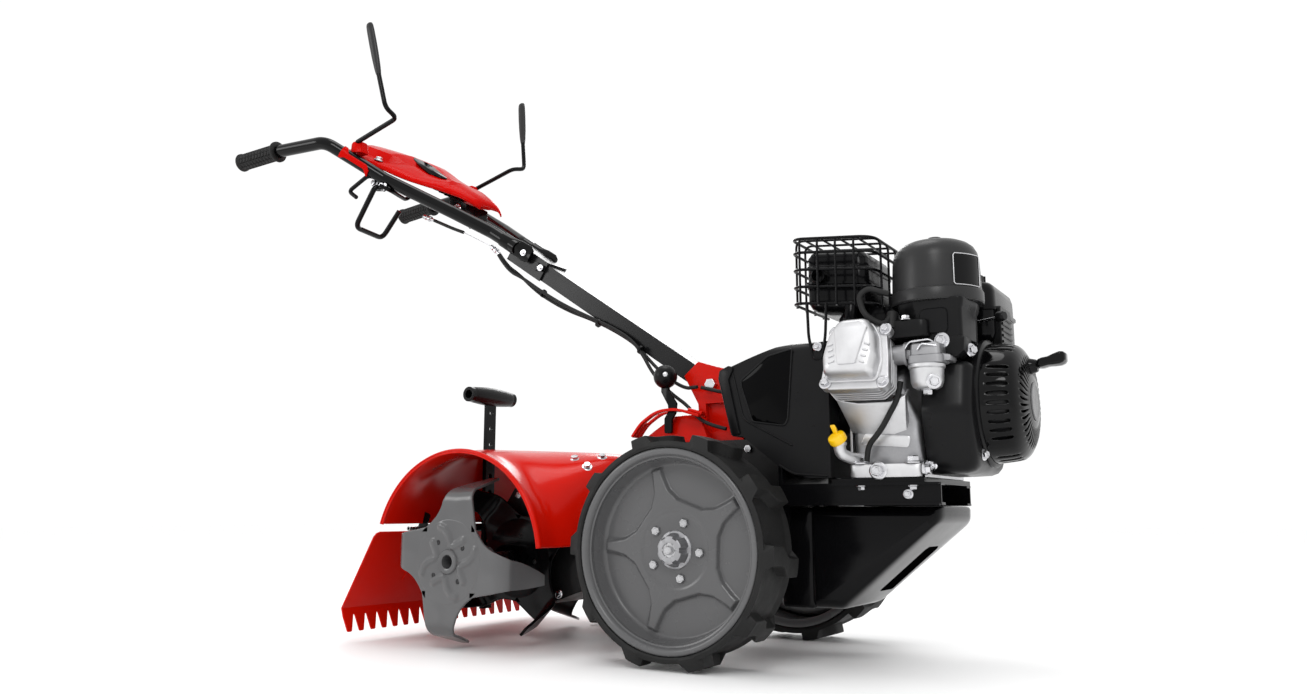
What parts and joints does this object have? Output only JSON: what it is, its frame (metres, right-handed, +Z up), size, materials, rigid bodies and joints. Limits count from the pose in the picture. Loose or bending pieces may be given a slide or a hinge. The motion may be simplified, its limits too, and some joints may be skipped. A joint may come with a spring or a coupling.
{
  "type": "rear-tine tiller",
  "caption": "Walk-behind rear-tine tiller with a petrol engine, lugged drive wheels, tines under a hood with a rear flap, and a raked handle with hand levers.",
  "frame": {"origin": "ground level under the middle of the overall length and width", "axes": "+X forward towards the engine, +Y to the operator's left, +Z up"},
  "size_m": [1.5345, 0.528, 1.1392],
  "materials": {
    "red_paint": "high-gloss powder coat",
    "red_plastic": "moulded gloss",
    "black_paint": "satin",
    "black_plastic": "fine texture",
    "grey_paint": "satin",
    "tine_paint": "semi-gloss",
    "steel": "machined",
    "chrome": "plated",
    "aluminium": "die cast",
    "iron": "painted casting",
    "rubber": "moulded",
    "tyre": "moulded lugs",
    "yellow_plastic": "moulded"
  },
  "bodies": {
    "chassis": {"gearbox_case_right": "iron", "gearbox_case_left": "iron", "case_bolts": "chrome", "gearbox_top_cover": "red_paint", "handle_bracket": "red_paint", "engine_frame": "black_paint", "belly_pan": "black_paint", "belt_guard": "black_plastic", "drive_belt": "rubber", "tine_hood": "red_paint", "hood_bracket": "black_paint", "crankcase": "aluminium", "crankcase_cover": "aluminium", "cylinder_head": "aluminium", "valve_cover": "aluminium", "blower_housing": "black_plastic", "recoil_cover": "black_plastic", "air_cleaner_base": "black_plastic", "air_cleaner_cap": "black_plastic", "carburettor": "aluminium", "fuel_tank": "black_plastic", "muffler": "black_paint", "muffler_guard": "black_paint", "spark_lead": "rubber", "guard_cables": "rubber"},
    "axle": {"axle_shaft": "steel", "tyre_right": "tyre", "tyre_left": "tyre", "wheel_disc_right": "grey_paint", "wheel_disc_left": "grey_paint", "hub_right": "grey_paint", "hub_left": "grey_paint", "wheel_bolts": "chrome"},
    "rotor": {"tine_shaft": "steel", "tines_outer_right": "tine_paint", "tines_outer_left": "tine_paint", "tines_inner_right": "tine_paint", "tines_inner_left": "tine_paint"},
    "crank": {"crankshaft": "steel", "flywheel": "aluminium", "drive_pulley": "steel"},
    "input": {"input_shaft": "steel"},
    "handle": {"column": "black_paint", "fork_clamp": "black_paint", "handlebar_right": "black_paint", "handlebar_left": "black_paint", "grip_right": "rubber", "grip_left": "rubber", "console": "red_plastic", "column_cables": "rubber"},
    "clutch_right": {"clutch_lever_right": "black_paint"},
    "clutch_left": {"clutch_lever_left": "black_paint"},
    "bail": {"reverse_bail": "black_paint"},
    "shift": {"gear_lever": "black_plastic"},
    "stake": {"depth_stake": "black_paint"},
    "flap": {"rear_flap": "red_paint"},
    "starter": {"starter_grip": "rubber"},
    "throttle": {"throttle_lever": "black_plastic"},
    "filler_cap": {"fuel_cap": "black_plastic"},
    "dipstick": {"oil_dipstick": "yellow_plastic"}
  },
  "joints": [
    {"name": "wheel_spin", "type": "hinge", "parent": "chassis", "child": "axle", "pos_m": [0.269, 0, 0.1633], "axis": [0, 1, 0], "continuous": true},
    {"name": "tine_spin", "type": "hinge", "parent": "chassis", "child": "rotor", "pos_m": [-0.131, 0, 0.1383], "axis": [0, 1, 0], "continuous": true},
    {"name": "crank_spin", "type": "hinge", "parent": "chassis", "child": "crank", "pos_m": [0.269, 0, 0.3693], "axis": [1, 0, 0], "continuous": true},
    {"name": "input_spin", "type": "hinge", "parent": "chassis", "child": "input", "pos_m": [0.269, 0, 0.2133], "axis": [1, 0, 0], "continuous": true},
    {"name": "handle_tilt", "type": "hinge", "parent": "chassis", "child": "handle", "pos_m": [0.231, 0, 0.4203], "axis": [0, 1, 0], "range_deg": [-8, 8]},
    {"name": "clutch_right_squeeze", "type": "hinge", "parent": "handle", "child": "clutch_right", "pos_m": [-0.487, 0, 0.9323], "axis": [0, -1, 0], "range_deg": [0, 98], "stiffness_Nm_per_rad": 0.3, "springref_deg": -28.65},
    {"name": "clutch_left_squeeze", "type": "hinge", "parent": "handle", "child": "clutch_left", "pos_m": [-0.487, 0, 0.9323], "axis": [0, -1, 0], "range_deg": [0, 98], "stiffness_Nm_per_rad": 0.3, "springref_deg": -28.65},
    {"name": "bail_pull", "type": "hinge", "parent": "handle", "child": "bail", "pos_m": [-0.453, 0, 0.8443], "axis": [0, 1, 0], "range_deg": [0, 25], "stiffness_Nm_per_rad": 0.5, "springref_deg": -22.92},
    {"name": "gear_shift", "type": "hinge", "parent": "chassis", "child": "shift", "pos_m": [0.161, -0.072, 0.3483], "axis": [0, 1, 0], "range_deg": [-10, 10]},
    {"name": "stake_depth", "type": "slide", "parent": "chassis", "child": "stake", "axis": [0, 0, 1], "range_m": [-0.03, 0.12]},
    {"name": "flap_swing", "type": "hinge", "parent": "chassis", "child": "flap", "pos_m": [-0.288, 0, 0.1883], "axis": [0, 1, 0], "range_deg": [0, 60]},
    {"name": "starter_pull", "type": "slide", "parent": "chassis", "child": "starter", "axis": [1, 0, 0], "range_m": [0, 0.06], "stiffness_N_per_m": 30, "springref_m": -0.1},
    {"name": "throttle_turn", "type": "hinge", "parent": "chassis", "child": "throttle", "pos_m": [0.65, -0.005, 0.4893], "axis": [0, 0, -1], "range_deg": [0, 35]},
    {"name": "cap_turn", "type": "hinge", "parent": "chassis", "child": "filler_cap", "pos_m": [0.609, 0.092, 0.5613], "axis": [0, 0, 1], "range_deg": [0, 90]},
    {"name": "dipstick_turn", "type": "hinge", "parent": "chassis", "child": "dipstick", "pos_m": [0.482, -0.136, 0.3183], "axis": [0, 0, 1], "range_deg": [0, 180]}
  ],
  "couplings": [
    {"joint": "input_spin", "follows": "tine_spin", "ratio": 20}
  ]
}
